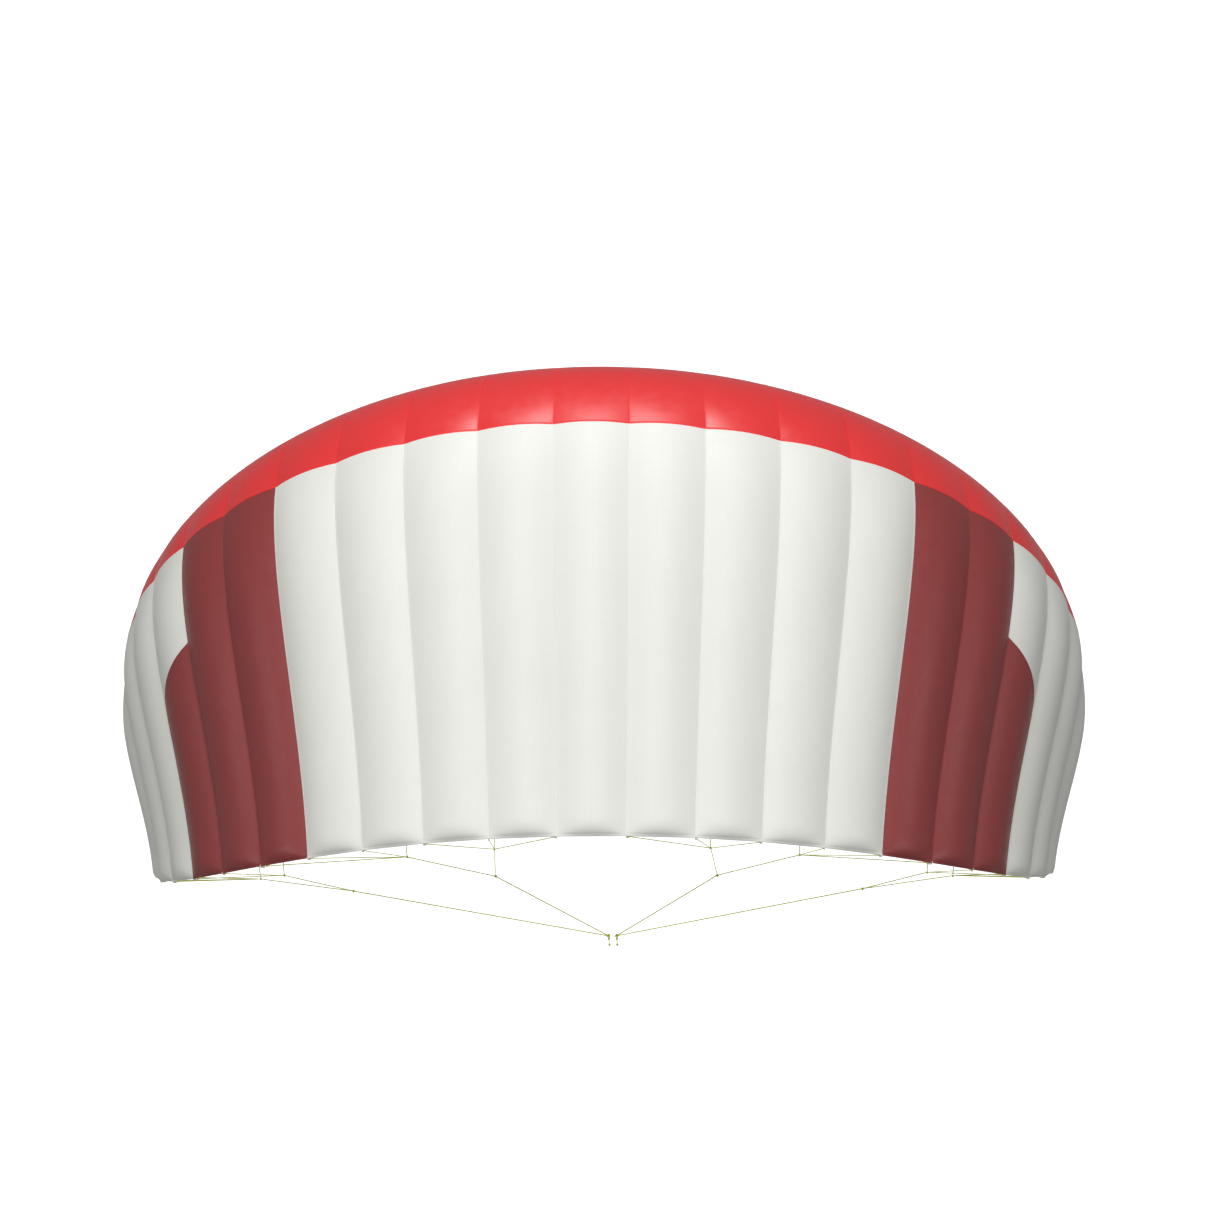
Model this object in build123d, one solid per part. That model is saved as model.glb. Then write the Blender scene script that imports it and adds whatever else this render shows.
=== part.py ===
from build123d import *
import math
import os

# A ram-air foil kite in its flying shape. X runs across the span, +Y towards the leading edge and
# +Z away from the pilot. The origin lies midway between the two tow knots. Sizes are millimetres.
# Cells are numbered outwards from the centre cell, and rib 1 is the first rib beside that cell.

os.makedirs("parts", exist_ok=True)

# Planform and arc
OUTER_CELLS = 10                # cells on each side of the centre cell
RIBS = OUTER_CELLS + 1          # ribs on each side
CENTRE_CELL_WIDTH = 156.0
TIP_NARROWING = 0.22            # the outermost cell is this share narrower than the centre cell
ROOT_CHORD = 1155.0
TIP_CHORD_SHARE = 0.37
TIP_ANGLE = math.radians(78)    # slope of the arc at the tip rib
ARC_POWER = 1.15
TIP_SWEEP = 170.0               # the tip's trailing edge stands this far forward of the centre's
SWEEP_POWER = 4
TRAILING_EDGE_Y = -281.0
CHORD_LINE_Z = 1732.0

# Section of the wing, as shares of the chord. With c the place along the chord, the height of a
# surface is its fullness * sqrt(c) * (1 - c) * (1 - taper * c).
UPPER_FULLNESS = 0.538
UPPER_TAPER = 0.74
LOWER_FULLNESS = -0.13
LOWER_TAPER = 0.80
BAND_END = 0.19                 # rear edge of the leading-edge panels on the upper side
LIP_END = 0.015                 # rear edge of the leading-edge panels on the lower side
INTAKE_END = 0.09               # rear edge of an air intake
SKIN_END = 0.98                 # where the skins stop and the hem tape starts
RIB_END = 0.965
INTAKE_CELLS = 6                # the centre cell and this many cells each side have an intake
VENT_PLACES = (0.14, 0.33, 0.55)
VENT_SHARE = 0.60               # vent radius over half the section's height there

# Cloth and hems
SKIN = 0.5
RIB_CLOTH = 0.8
CLEARANCE = 0.3

# Bridle
ROW_A = 0.12
ROW_B = 0.45
TAB_LENGTH = 12.0
TAB_WIDTH = 8.0
TAB_THICKNESS = 1.6
TAB_GAP = 1.1                   # from the skin to a tab of row a or b
REAR_TAB_GAP = 5.0              # from the trailing edge to a tab of row c
UPPER_LINE = 2.2
FRONT_LINE = 2.2
MID_LINE = 2.4
MAIN_LINE = 2.8
KNOT_RADIUS = 12.0
LINE_GAP = 0.2
TAB_END_GAP = 2.4

# Tow end of each bridle
TOW_X = 11.0
TOW_KNOT_RADIUS = 6.0
LOOP_TOP = -4.0
LOOP_BOTTOM = -28.0
LOOP_HALF_WIDTH = 6.0
LOOP_CORNER = 4.0
LOOP_LINE = 2.0
HEAD_LENGTH = 3.6
HEAD_RADIUS = 3.0
HEAD_BORE = 1.3
PIGTAIL_LINE = 3.0
PIGTAIL_LENGTH = 50.0
STOPPER_RADIUS = 4.0

# Junctions of the right bridle. The trailing nodes carry the rear lines, the front nodes rows A and B.
TOW = Vector(TOW_X, 0, 0)
INNER_FORK = Vector(288, -16, 600)
OUTER_FORK = Vector(668, -23, 500)
CLUSTERS = (
    # ribs, fork, trailing node, front node
    ((1, 2, 3), INNER_FORK, Vector(270, -56, 950), Vector(250, 320, 1390)),
    ((4, 5, 6), INNER_FORK, Vector(492, -59, 900), Vector(510, 320, 1330)),
    ((7, 8), OUTER_FORK, Vector(822, -52, 730), Vector(840, 300, 1000)),
    ((9, 10, 11), OUTER_FORK, Vector(893, -36, 650), Vector(930, 270, 850)),
)


def lerp(a, b, share):
    return a + (b - a) * share


def arc_stations():
    """x, z, slope and arc length of each rib's chord line, the centre plane first."""
    widths = [CENTRE_CELL_WIDTH / 2]
    for cell in range(1, OUTER_CELLS + 1):
        widths.append(CENTRE_CELL_WIDTH * (1 - TIP_NARROWING * (cell / OUTER_CELLS) ** 2))
    half_span = sum(widths)
    steps = 60
    x, z, arc = 0.0, 0.0, 0.0
    stations = [(x, z, 0.0, arc)]
    for width in widths:
        for _ in range(steps):
            arc += width / steps
            slope = TIP_ANGLE * ((arc - width / steps / 2) / half_span) ** ARC_POWER
            x += math.cos(slope) * width / steps
            z -= math.sin(slope) * width / steps
        stations.append((x, z, TIP_ANGLE * (arc / half_span) ** ARC_POWER, arc))
    return stations


STATIONS = arc_stations()
HALF_SPAN = STATIONS[-1][3]


def rib_frame(index):
    """Leading-edge y, chord, chord-line point and up vector scaled by the chord, of one rib."""
    if index < 0:
        leading, chord, base, up = rib_frame(-index)
        return leading, chord, mirror_x(base), mirror_x(up)
    x, z, slope, arc = STATIONS[index]
    share = arc / HALF_SPAN
    chord = ROOT_CHORD * lerp(TIP_CHORD_SHARE, 1, math.sqrt(1 - min(share, 1) ** 2))
    trailing = TRAILING_EDGE_Y + TIP_SWEEP * share ** SWEEP_POWER
    base = Vector(x, 0, CHORD_LINE_Z + z)
    up = Vector(math.sin(slope), 0, math.cos(slope)) * chord
    return trailing + chord, chord, base, up


def mirror_x(vector):
    return Vector(-vector.X, vector.Y, vector.Z)


def between(inner, outer, share):
    """The section's frame part of the way from one rib to the next."""
    a, b = rib_frame(inner), rib_frame(outer)
    return tuple(lerp(a[i], b[i], share) for i in range(4))


def section(u):
    """Chord share and height share at u: -1 lower trailing edge, 0 nose, 1 upper trailing edge."""
    c = u * u
    fullness, taper = (UPPER_FULLNESS, UPPER_TAPER) if u > 0 else (LOWER_FULLNESS, LOWER_TAPER)
    return c, fullness * abs(u) * (1 - c) * (1 - taper * c)


def surface_point(frame, u, inset=0.0):
    """A point on the section's outline, moved into the cell by inset."""
    leading, chord, base, up = frame
    height = up.length
    step = 0.001
    c0, h0 = section(u - step)
    c1, h1 = section(u + step)
    along = Vector(-(c1 - c0) * chord, (h1 - h0) * height, 0).normalized()
    inward_y, inward_up = along.Y, -along.X
    c, h = section(u)
    flat = Vector(base.X, leading - c * chord + inset * -inward_y, base.Z)
    return flat + up.normalized() * (h * height - inset * inward_up)


def spread(start, end, count):
    return [lerp(start, end, i / (count - 1)) for i in range(count)]


def skin_face(frame, start, end, count):
    outer = [surface_point(frame, u) for u in spread(start, end, count)]
    inner = [surface_point(frame, u, SKIN) for u in spread(start, end, count)]
    wire = Wire([
        Edge.make_spline(outer),
        Edge.make_line(outer[-1], inner[-1]),
        Edge.make_spline(inner),
        Edge.make_line(inner[0], outer[0]),
    ])
    return Face(wire)


def cell_edges(inner, outer):
    """The frames at both sides of a cell, clear of the rib cloth."""
    start, end = rib_frame(inner), rib_frame(outer)
    width = (end[2] - start[2]).length
    margin = (RIB_CLOTH / 2 + CLEARANCE) / width
    return between(inner, outer, margin), between(inner, outer, 1 - margin)


def panel(inner, outer, start, end, count=9):
    sides = cell_edges(inner, outer)
    return loft([skin_face(side, start, end, count) for side in sides], ruled=True)


def leading_panel(inner, outer):
    return panel(inner, outer, -math.sqrt(LIP_END), math.sqrt(BAND_END), 13)


def top_panel(inner, outer):
    return panel(inner, outer, math.sqrt(BAND_END) + 0.0005, math.sqrt(SKIN_END))


def bottom_panel(inner, outer):
    cell = abs(inner) if inner > 0 else 0
    front = INTAKE_END if cell <= INTAKE_CELLS else LIP_END + 0.002
    return panel(inner, outer, -math.sqrt(SKIN_END), -math.sqrt(front))


def hem_tape(inner, outer):
    """The folded tape that closes the trailing edge of one cell."""
    faces = []
    start = math.sqrt(SKIN_END) + 0.001
    for frame in cell_edges(inner, outer):
        up = frame[3].normalized()
        end = surface_point(frame, 1)
        corners = [
            surface_point(frame, start),
            end + up * SKIN,
            end - up * SKIN,
            surface_point(frame, -start),
        ]
        faces.append(Face(Wire.make_polygon(corners, close=True)))
    return loft(faces, ruled=True)


def rib_outline(frame, inset, end):
    points = [surface_point(frame, u, inset) for u in spread(-math.sqrt(end), math.sqrt(end), 25)]
    return Face(Wire([Edge.make_spline(points), Edge.make_line(points[-1], points[0])]))


def plate(frame, face):
    across = frame[3].normalized().cross(Vector(0, 1, 0))
    moved = face.moved(Location(across * (-RIB_CLOTH / 2)))
    return extrude(moved, amount=RIB_CLOTH, dir=across)


def vent(frame, place):
    """A round vent through the rib, centred between the skins."""
    top = surface_point(frame, math.sqrt(place))
    low = surface_point(frame, -math.sqrt(place))
    across = frame[3].normalized().cross(Vector(0, 1, 0))
    radius = (top - low).length / 2 * VENT_SHARE
    depth = 4 * RIB_CLOTH
    start = (top + low) * 0.5 - across * (depth / 2)
    return Solid.make_cylinder(radius, depth, Plane(origin=start, z_dir=across))


def rib(index):
    frame = rib_frame(index)
    body = plate(frame, rib_outline(frame, SKIN + CLEARANCE, RIB_END))
    for place in VENT_PLACES:
        body -= vent(frame, place)
    return body


def tip_panel():
    frame = rib_frame(RIBS)
    return plate(frame, rib_outline(frame, 0, SKIN_END))


def attachment(index, row):
    """Root and outward direction of the tab on one rib: rows a and b below the skin, row c behind."""
    frame = rib_frame(index)
    if row == "c":
        root = surface_point(frame, 1)
        return root, (trailing_node(index) - root).normalized()
    u = -math.sqrt(ROW_A if row == "a" else ROW_B)
    root = surface_point(frame, u)
    return root, (root - surface_point(frame, u, 1)).normalized()


def cluster_of(index):
    for cluster in CLUSTERS:
        if index in cluster[0]:
            return cluster
    raise ValueError(f"rib {index} has no cluster")


def trailing_node(index):
    return cluster_of(index)[2]


def tab_gap(row):
    return REAR_TAB_GAP if row == "c" else TAB_GAP


def tab(index, row):
    root, outward = attachment(index, row)
    across = rib_frame(index)[3].normalized().cross(Vector(0, 1, 0))
    start = root + outward * tab_gap(row)
    flat = Plane(origin=start, x_dir=outward.cross(across), z_dir=outward)
    shape = Rectangle(TAB_WIDTH, TAB_THICKNESS)
    return extrude(flat * shape, amount=TAB_LENGTH)


def tab_end(index, row):
    root, outward = attachment(index, row)
    return root + outward * (tab_gap(row) + TAB_LENGTH)


def line(start, end, diameter, start_gap, end_gap):
    """A straight taut line between two points, stopping short of each by its gap."""
    run = end - start
    direction = run.normalized()
    length = run.length - start_gap - end_gap
    origin = start + direction * start_gap
    return Solid.make_cylinder(diameter / 2, length, Plane(origin=origin, z_dir=direction))


def upper_lines(row):
    lines = []
    for ribs, _, trailing, front in CLUSTERS:
        node = trailing if row == "c" else front
        for index in ribs:
            lines.append(line(node, tab_end(index, row), UPPER_LINE, KNOT_RADIUS + LINE_GAP, TAB_END_GAP))
    return lines


def front_lines():
    gap = KNOT_RADIUS + LINE_GAP
    return [line(trailing, front, FRONT_LINE, gap, gap) for _, _, trailing, front in CLUSTERS]


def mid_lines():
    gap = KNOT_RADIUS + LINE_GAP
    return [line(fork, trailing, MID_LINE, gap, gap) for _, fork, trailing, _ in CLUSTERS]


def main_lines():
    tow_gap = TOW_KNOT_RADIUS + LINE_GAP
    gap = KNOT_RADIUS + LINE_GAP
    return [line(TOW, fork, MAIN_LINE, tow_gap, gap) for fork in (INNER_FORK, OUTER_FORK)]


def ball(centre, radius):
    return Solid.make_sphere(radius, Plane(origin=centre), -90, 90, 360)


def bridle_knots():
    centres = [INNER_FORK, OUTER_FORK]
    for _, _, trailing, front in CLUSTERS:
        centres += [trailing, front]
    return [ball(centre, KNOT_RADIUS) for centre in centres]


def tow_loop():
    """The soft loop that hangs below the tow knot, in the YZ plane."""
    corners = [
        (TOW_X, -LOOP_HALF_WIDTH, LOOP_TOP),
        (TOW_X, -LOOP_HALF_WIDTH, LOOP_BOTTOM),
        (TOW_X, LOOP_HALF_WIDTH, LOOP_BOTTOM),
        (TOW_X, LOOP_HALF_WIDTH, LOOP_TOP),
    ]
    path = FilletPolyline(*corners, radius=LOOP_CORNER)
    profile = Plane(origin=corners[0], z_dir=(0, 0, -1)) * Circle(LOOP_LINE / 2)
    return sweep(profile, path=path)


def larks_head():
    """The pigtail's turns round the loop, as one sleeve."""
    start = Vector(TOW_X, -HEAD_LENGTH / 2, LOOP_BOTTOM)
    plane = Plane(origin=start, z_dir=(0, 1, 0))
    sleeve = Solid.make_cylinder(HEAD_RADIUS, HEAD_LENGTH, plane)
    return sleeve - Solid.make_cylinder(HEAD_BORE, HEAD_LENGTH, plane)


def pigtail_ends():
    top = Vector(TOW_X, 0, LOOP_BOTTOM - HEAD_RADIUS - LINE_GAP)
    return top, top - Vector(0, 0, PIGTAIL_LENGTH)


def pigtail_line():
    top, bottom = pigtail_ends()
    return line(top, bottom, PIGTAIL_LINE, 0, 0)


def stopper_knot():
    bottom = pigtail_ends()[1]
    return ball(bottom - Vector(0, 0, STOPPER_RADIUS + LINE_GAP), STOPPER_RADIUS)


def wing_nodes():
    """Every node of the right wing and its bridle, by name."""
    cells = [(index, index + 1) for index in range(1, RIBS)]
    nodes = {}
    for index, cell in enumerate(cells, start=1):
        nodes[f"top_panel_{index}"] = [top_panel(*cell)]
    nodes["bottom_panels"] = [bottom_panel(*cell) for cell in cells]
    nodes["leading_edge_panels"] = [leading_panel(*cell) for cell in cells]
    nodes["trailing_edge_tape"] = [hem_tape(*cell) for cell in cells]
    nodes["ribs"] = [rib(index) for index in range(1, RIBS)]
    nodes["tip_panel"] = [tip_panel()]
    nodes["line_tabs"] = [tab(index, row) for row in "abc" for index in range(1, RIBS + 1)]
    for row in "abc":
        nodes[f"bridle_row_{row}"] = upper_lines(row)
    nodes["bridle_front_lines"] = front_lines()
    nodes["bridle_mid_lines"] = mid_lines()
    nodes["bridle_main_lines"] = main_lines()
    nodes["bridle_knots"] = bridle_knots()
    nodes["tow_knot"] = [ball(TOW, TOW_KNOT_RADIUS)]
    nodes["tow_loop"] = [tow_loop()]
    nodes["larks_head"] = [larks_head()]
    nodes["pigtail_line"] = [pigtail_line()]
    nodes["stopper_knot"] = [stopper_knot()]
    return nodes


def centre_nodes():
    return {
        "centre_top_panel": [top_panel(-1, 1)],
        "centre_bottom_panel": [bottom_panel(-1, 1)],
        "centre_leading_edge_panel": [leading_panel(-1, 1)],
        "centre_trailing_edge_tape": [hem_tape(-1, 1)],
    }


def solids_of(shapes):
    return [solid for shape in shapes for solid in shape.solids()]


def write(name, solids):
    shape = solids[0] if len(solids) == 1 else Compound(children=solids)
    export_step(shape, f"parts/{name}.step")


def cord_report(name, solids, diameter):
    """Compare the lines' volume with their section times their length."""
    volume = sum(solid.volume for solid in solids)
    length = volume / (math.pi * diameter**2 / 4)
    print(f"{name}: {len(solids)} straight lines, {length:.0f} mm in all, no bends")


def main():
    for name, shapes in centre_nodes().items():
        write(name, solids_of(shapes))
    for name, shapes in wing_nodes().items():
        right = solids_of(shapes)
        write(f"right_{name}", right)
        write(f"left_{name}", [solid.mirror(Plane.YZ) for solid in right])
    for row in "abc":
        cord_report(f"bridle_row_{row}", upper_lines(row), UPPER_LINE)
    cord_report("bridle_front_lines", front_lines(), FRONT_LINE)
    cord_report("bridle_mid_lines", mid_lines(), MID_LINE)
    cord_report("bridle_main_lines", main_lines(), MAIN_LINE)
    cord_report("pigtail_line", [pigtail_line()], PIGTAIL_LINE)
    print(f"tow_loop corner radius {LOOP_CORNER} mm")
    print(f"flat span {2 * HALF_SPAN:.0f} mm, projected span {2 * STATIONS[-1][0]:.0f} mm")


main()
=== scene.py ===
import math

import bmesh
import bpy
from mathutils import Matrix, Vector


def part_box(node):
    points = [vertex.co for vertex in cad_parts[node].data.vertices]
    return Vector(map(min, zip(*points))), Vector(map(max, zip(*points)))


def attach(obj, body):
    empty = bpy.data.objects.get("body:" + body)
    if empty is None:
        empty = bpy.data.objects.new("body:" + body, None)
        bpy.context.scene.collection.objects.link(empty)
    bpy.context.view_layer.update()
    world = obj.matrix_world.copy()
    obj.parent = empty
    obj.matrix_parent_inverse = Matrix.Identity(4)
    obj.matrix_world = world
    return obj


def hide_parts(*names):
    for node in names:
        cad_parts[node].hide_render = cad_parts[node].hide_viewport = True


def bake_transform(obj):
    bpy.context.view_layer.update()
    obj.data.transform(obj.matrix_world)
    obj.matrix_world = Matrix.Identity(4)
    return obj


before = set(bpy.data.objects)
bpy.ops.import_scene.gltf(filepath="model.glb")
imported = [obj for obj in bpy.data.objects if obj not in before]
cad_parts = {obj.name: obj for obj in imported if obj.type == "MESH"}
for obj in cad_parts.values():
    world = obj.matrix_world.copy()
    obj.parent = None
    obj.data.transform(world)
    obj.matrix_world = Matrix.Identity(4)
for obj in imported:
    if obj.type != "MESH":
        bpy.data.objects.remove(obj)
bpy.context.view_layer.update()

# A ram-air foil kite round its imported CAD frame. Everything is in metres: X across the span, +Y towards
# the leading edge, +Z away from the pilot. Cells and ribs are numbered outwards, and ribs of the left
# half have negative numbers. A cloth grid runs from the lower trailing edge round the nose to the upper
# one (rows), and towards +X (columns), so that its outward side is the same on both halves.

SIDES = (("left", -1), ("right", 1))

# Planform, arc and section, as in the CAD source
OUTER_CELLS = 10
RIBS = OUTER_CELLS + 1
CENTRE_CELL_WIDTH = 0.156
TIP_NARROWING = 0.22
ROOT_CHORD = 1.155
TIP_CHORD_SHARE = 0.37
TIP_ANGLE = math.radians(78)
ARC_POWER = 1.15
TIP_SWEEP = 0.170
SWEEP_POWER = 4
TRAILING_EDGE_Y = -0.281
CHORD_LINE_Z = 1.732
UPPER_FULLNESS = 0.538
UPPER_TAPER = 0.74
LOWER_FULLNESS = -0.13
LOWER_TAPER = 0.80
BAND_END = 0.19
LIP_END = 0.015
INTAKE_END = 0.09
RIB_END = 0.965
INTAKE_CELLS = 6
VENT_PLACES = (0.14, 0.33, 0.55)
VENT_SHARE = 0.60

# Bridle, as in the CAD source
ROW_A = 0.12
ROW_B = 0.45
TAB_LENGTH = 0.012
TAB_WIDTH = 0.008
TAB_GAP = 0.0011
REAR_TAB_GAP = 0.005
UPPER_LINE = 0.0022
FRONT_LINE = 0.0022
MID_LINE = 0.0024
MAIN_LINE = 0.0028
LOOP_HALF_WIDTH = 0.006
LOOP_TOP = -0.004
LOOP_BOTTOM = -0.028
LOOP_LINE = 0.002
PIGTAIL_LINE = 0.003
INNER_FORK = Vector((0.288, -0.016, 0.600))
OUTER_FORK = Vector((0.668, -0.023, 0.500))
CLUSTERS = (
    # ribs, fork, trailing node, front node
    ((1, 2, 3), INNER_FORK, Vector((0.270, -0.056, 0.950)), Vector((0.250, 0.320, 1.390))),
    ((4, 5, 6), INNER_FORK, Vector((0.492, -0.059, 0.900)), Vector((0.510, 0.320, 1.330))),
    ((7, 8), OUTER_FORK, Vector((0.822, -0.052, 0.730)), Vector((0.840, 0.300, 1.000))),
    ((9, 10, 11), OUTER_FORK, Vector((0.893, -0.036, 0.650)), Vector((0.930, 0.270, 0.850))),
)

# The blown-up cloth
CLOTH = 0.0004                  # thickness of the cloth as modelled
RIB_CLOTH = 0.0006
VENT_TAPE = 0.004               # how far the tape round a vent lies on the rib
TIP_BELLY = 0.012               # how far the closed end bulges
TOP_SWELL = 0.130               # crown of a cell's top over the cell's width
LOWER_SWELL = 0.090
TIP_SWELL = 0.50                # share of the swell that a cell of no chord would keep
NOSE_SWELL = 0.10               # share of the swell left at the nose
SWELL_FULL = 0.36               # place on the chord where the top is fully blown up
EDGE_ROUND = 0.034              # share of the chord in which the swell falls to nothing at the rear
HEM_START = 0.9965             # where the hem of the trailing edge starts
DIAGONAL_INNER = 0.437          # where the dark panel of cell 7 starts, at rib 7
DIAGONAL_OUTER = 0.575          # and at rib 8
COLUMNS = 14                    # faces across a cell
NOSE_ROWS = 22
LOWER_ROWS = 40
TOP_ROWS = 44
TOP_FRONT_ROWS = 16             # of cell 7, ahead of the dark panel
TOP_REAR_ROWS = 30
SEAM_WIDTH = 0.0025             # from the rib to the edge of a seam's fold
SEAM_LIFT = 0.0004
ON_RIB = 0.00001                # so near to a rib that it counts as on it
HEM_WIDTH = 0.008               # of the hem at an intake
LIP_BOW = 0.45                  # share by which the mouth's front lip is drawn forwards in mid-cell
REAR_LIP_BOW = 0.022            # share of the chord by which its rear lip is drawn back

# sRGB colours of cloth and line
WHITE = (240, 241, 234)
DARK_RED = (148, 60, 59)
RED = (242, 50, 52)
LOWER = (232, 233, 227)
RIB_WHITE = (236, 237, 232)
WEBBING = (228, 229, 222)
OLIVE = (216, 221, 38)
DARK_RED_CELLS = (5, 6, 7)
DIAGONAL_CELL = 7
CLOTH_SLOTS = {"white": "white_cloth", "dark": "dark_red_cloth", "red": "red_cloth", "lower": "lower_cloth"}

# Camera: place and view of a photographer above and behind the kite
CAMERA_PLACE = Vector((0.2401, -2.5849, 8.7179))
CAMERA_LOOK = Vector((-0.0275, 0.3787, -0.9251))
CAMERA_UP = Vector((0.0072, 0.9254, 0.3788))
CAMERA_LENS = 96.93
FLOOR_Z = -2.5
FILL_LIGHT = 0.22
FRONT_POWER = 134
TOP_POWER = 130
SIDE_POWER = 33
UNDER_POWER = 90


def lerp(a, b, share):
    return a + (b - a) * share


def smoothstep(share):
    share = min(max(share, 0), 1)
    return share * share * (3 - 2 * share)


# ---- camera, light and floor ----


def add_camera():
    data = bpy.data.cameras.new("camera")
    data.lens = CAMERA_LENS
    data.sensor_width = 36
    data.clip_end = 100
    camera = bpy.data.objects.new("camera", data)
    back = -CAMERA_LOOK.normalized()
    right = CAMERA_UP.cross(back).normalized()
    up = back.cross(right)
    turn = Matrix((right, up, back)).transposed().to_4x4()
    camera.matrix_world = Matrix.Translation(CAMERA_PLACE) @ turn
    bpy.context.collection.objects.link(camera)
    bpy.context.scene.camera = camera


def add_softbox(name, place, target, size, power):
    data = bpy.data.lights.new(name, "AREA")
    data.shape = "RECTANGLE"
    data.size, data.size_y = size
    data.energy = power
    light = bpy.data.objects.new(name, data)
    light.location = place
    light.rotation_mode = "QUATERNION"
    light.rotation_quaternion = (Vector(target) - Vector(place)).to_track_quat("-Z", "Y")
    light.visible_camera = False
    bpy.context.collection.objects.link(light)


def add_studio():
    world = bpy.data.worlds.new("studio")
    world.use_nodes = True
    nodes, links = world.node_tree.nodes, world.node_tree.links
    path = nodes.new("ShaderNodeLightPath")
    seen = nodes.new("ShaderNodeMapRange")
    seen.inputs["To Min"].default_value = FILL_LIGHT
    seen.inputs["To Max"].default_value = 1.0
    links.new(path.outputs["Is Camera Ray"], seen.inputs["Value"])
    background = nodes["Background"]
    background.inputs["Color"].default_value = (1, 1, 1, 1)
    links.new(seen.outputs[0], background.inputs["Strength"])
    bpy.context.scene.world = world
    bpy.context.scene.view_settings.view_transform = "Standard"
    add_softbox("front", (0, 3.5, 6.2), (0, 0.4, 1.8), (2.2, 1.4), FRONT_POWER)
    add_softbox("top", (-0.3, -1.0, 7.0), (0, 0.3, 1.6), (2.8, 2.2), TOP_POWER)
    for side, sign in SIDES:
        add_softbox(side, (5.5 * sign, -1.6, 4.6), (0.8 * sign, 0.2, 1.2), (2.0, 2.0), SIDE_POWER)
    add_softbox("under", (0, -0.4, FLOOR_Z + 0.2), (0, 0.3, 1.6), (3.6, 2.6), UNDER_POWER)


def see_through_from_below(material, shader):
    nodes, links = material.node_tree.nodes, material.node_tree.links
    side = nodes.new("ShaderNodeNewGeometry")
    clear = nodes.new("ShaderNodeBsdfTransparent")
    mixed = nodes.new("ShaderNodeMixShader")
    links.new(side.outputs["Backfacing"], mixed.inputs[0])
    links.new(shader.outputs[0], mixed.inputs[1])
    links.new(clear.outputs[0], mixed.inputs[2])
    links.new(mixed.outputs[0], nodes["Material Output"].inputs["Surface"])


def add_floor():
    half = 30
    corners = [(-half, -half), (half, -half), (half, half), (-half, half)]
    mesh = bpy.data.meshes.new("floor")
    mesh.from_pydata([(x, y, FLOOR_Z) for x, y in corners], [], [(0, 1, 2, 3)])
    material = bpy.data.materials.new("floor")
    material.use_nodes = True
    shader = material.node_tree.nodes["Principled BSDF"]
    shader.inputs["Base Color"].default_value = (0.85, 0.85, 0.85, 1)
    shader.inputs["Roughness"].default_value = 0.9
    shader.inputs["Emission Color"].default_value = (1, 1, 1, 1)
    shader.inputs["Emission Strength"].default_value = 0.9
    see_through_from_below(material, shader)
    mesh.materials.append(material)
    floor = bpy.data.objects.new("floor", mesh)
    floor.visible_diffuse = False
    floor.visible_glossy = False
    bpy.context.collection.objects.link(floor)


# ---- materials ----


def linear(colour):
    """Linear RGBA of an sRGB colour given from 0 to 255."""
    values = []
    for level in colour:
        share = level / 255
        values.append(share / 12.92 if share <= 0.04045 else ((share + 0.055) / 1.055) ** 2.4)
    return (*values, 1)


class Graph:
    """A material's nodes, with short ways to add and join them."""

    def __init__(self, name, colour, roughness, sheen, gloss=0.5):
        self.material = bpy.data.materials.new(name)
        self.material.use_nodes = True
        self.nodes = self.material.node_tree.nodes
        self.links = self.material.node_tree.links
        self.shader = self.nodes["Principled BSDF"]
        self.colour = linear(colour)
        self.shader.inputs["Base Color"].default_value = self.colour
        self.shader.inputs["Roughness"].default_value = roughness
        self.shader.inputs["Sheen Weight"].default_value = sheen
        self.shader.inputs["Specular IOR Level"].default_value = gloss
        self.shader.inputs["Sheen Roughness"].default_value = 0.35
        self.material.diffuse_color = self.colour

    def add(self, kind, inputs=(), **settings):
        node = self.nodes.new(kind)
        for name, value in settings.items():
            setattr(node, name, value)
        for name, value in dict(inputs).items():
            self.join(value, node.inputs[name])
        return node

    def join(self, value, socket):
        if isinstance(value, bpy.types.NodeSocket):
            self.links.new(value, socket)
        else:
            socket.default_value = value

    def math(self, operation, a, b=0.0):
        return self.add("ShaderNodeMath", {0: a, 1: b}, operation=operation).outputs[0]

    def range(self, value, low, high, to_low, to_high):
        inputs = {"Value": value, "From Min": low, "From Max": high, "To Min": to_low, "To Max": to_high}
        return self.add("ShaderNodeMapRange", inputs).outputs[0]

    def mix(self, share, a, b):
        node = self.add("ShaderNodeMix", data_type="RGBA")
        self.join(share, node.inputs[0])
        self.join(a, node.inputs[6])
        self.join(b, node.inputs[7])
        return node.outputs[2]

    def darker(self, share):
        return (*[level * share for level in self.colour[:3]], 1)

    def axes(self, source):
        """The two surface coordinates of a piece's UV map, in metres."""
        split = self.add("ShaderNodeSeparateXYZ", {"Vector": source})
        return split.outputs[0], split.outputs[1]

    def uv(self):
        return self.add("ShaderNodeUVMap", uv_map="UVMap").outputs[0]

    def stripes(self, coordinate, pitch, share):
        """1 on lines that come every pitch metres and fill that share of it, else 0."""
        place = self.math("FRACT", self.math("MULTIPLY", coordinate, 1 / pitch))
        centred = self.math("ABSOLUTE", self.math("SUBTRACT", place, 0.5))
        return self.range(centred, 0.5 - share, 0.5 - share / 3, 0, 1)

    def bump(self, height, strength, distance):
        inputs = {"Strength": strength, "Distance": distance, "Height": height}
        self.join(self.add("ShaderNodeBump", inputs).outputs[0], self.shader.inputs["Normal"])

    def noise(self, scale, detail=3.0):
        place = self.add("ShaderNodeTexCoord").outputs["Object"]
        inputs = {"Vector": place, "Scale": scale, "Detail": detail}
        return self.add("ShaderNodeTexNoise", inputs).outputs["Fac"]


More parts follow.
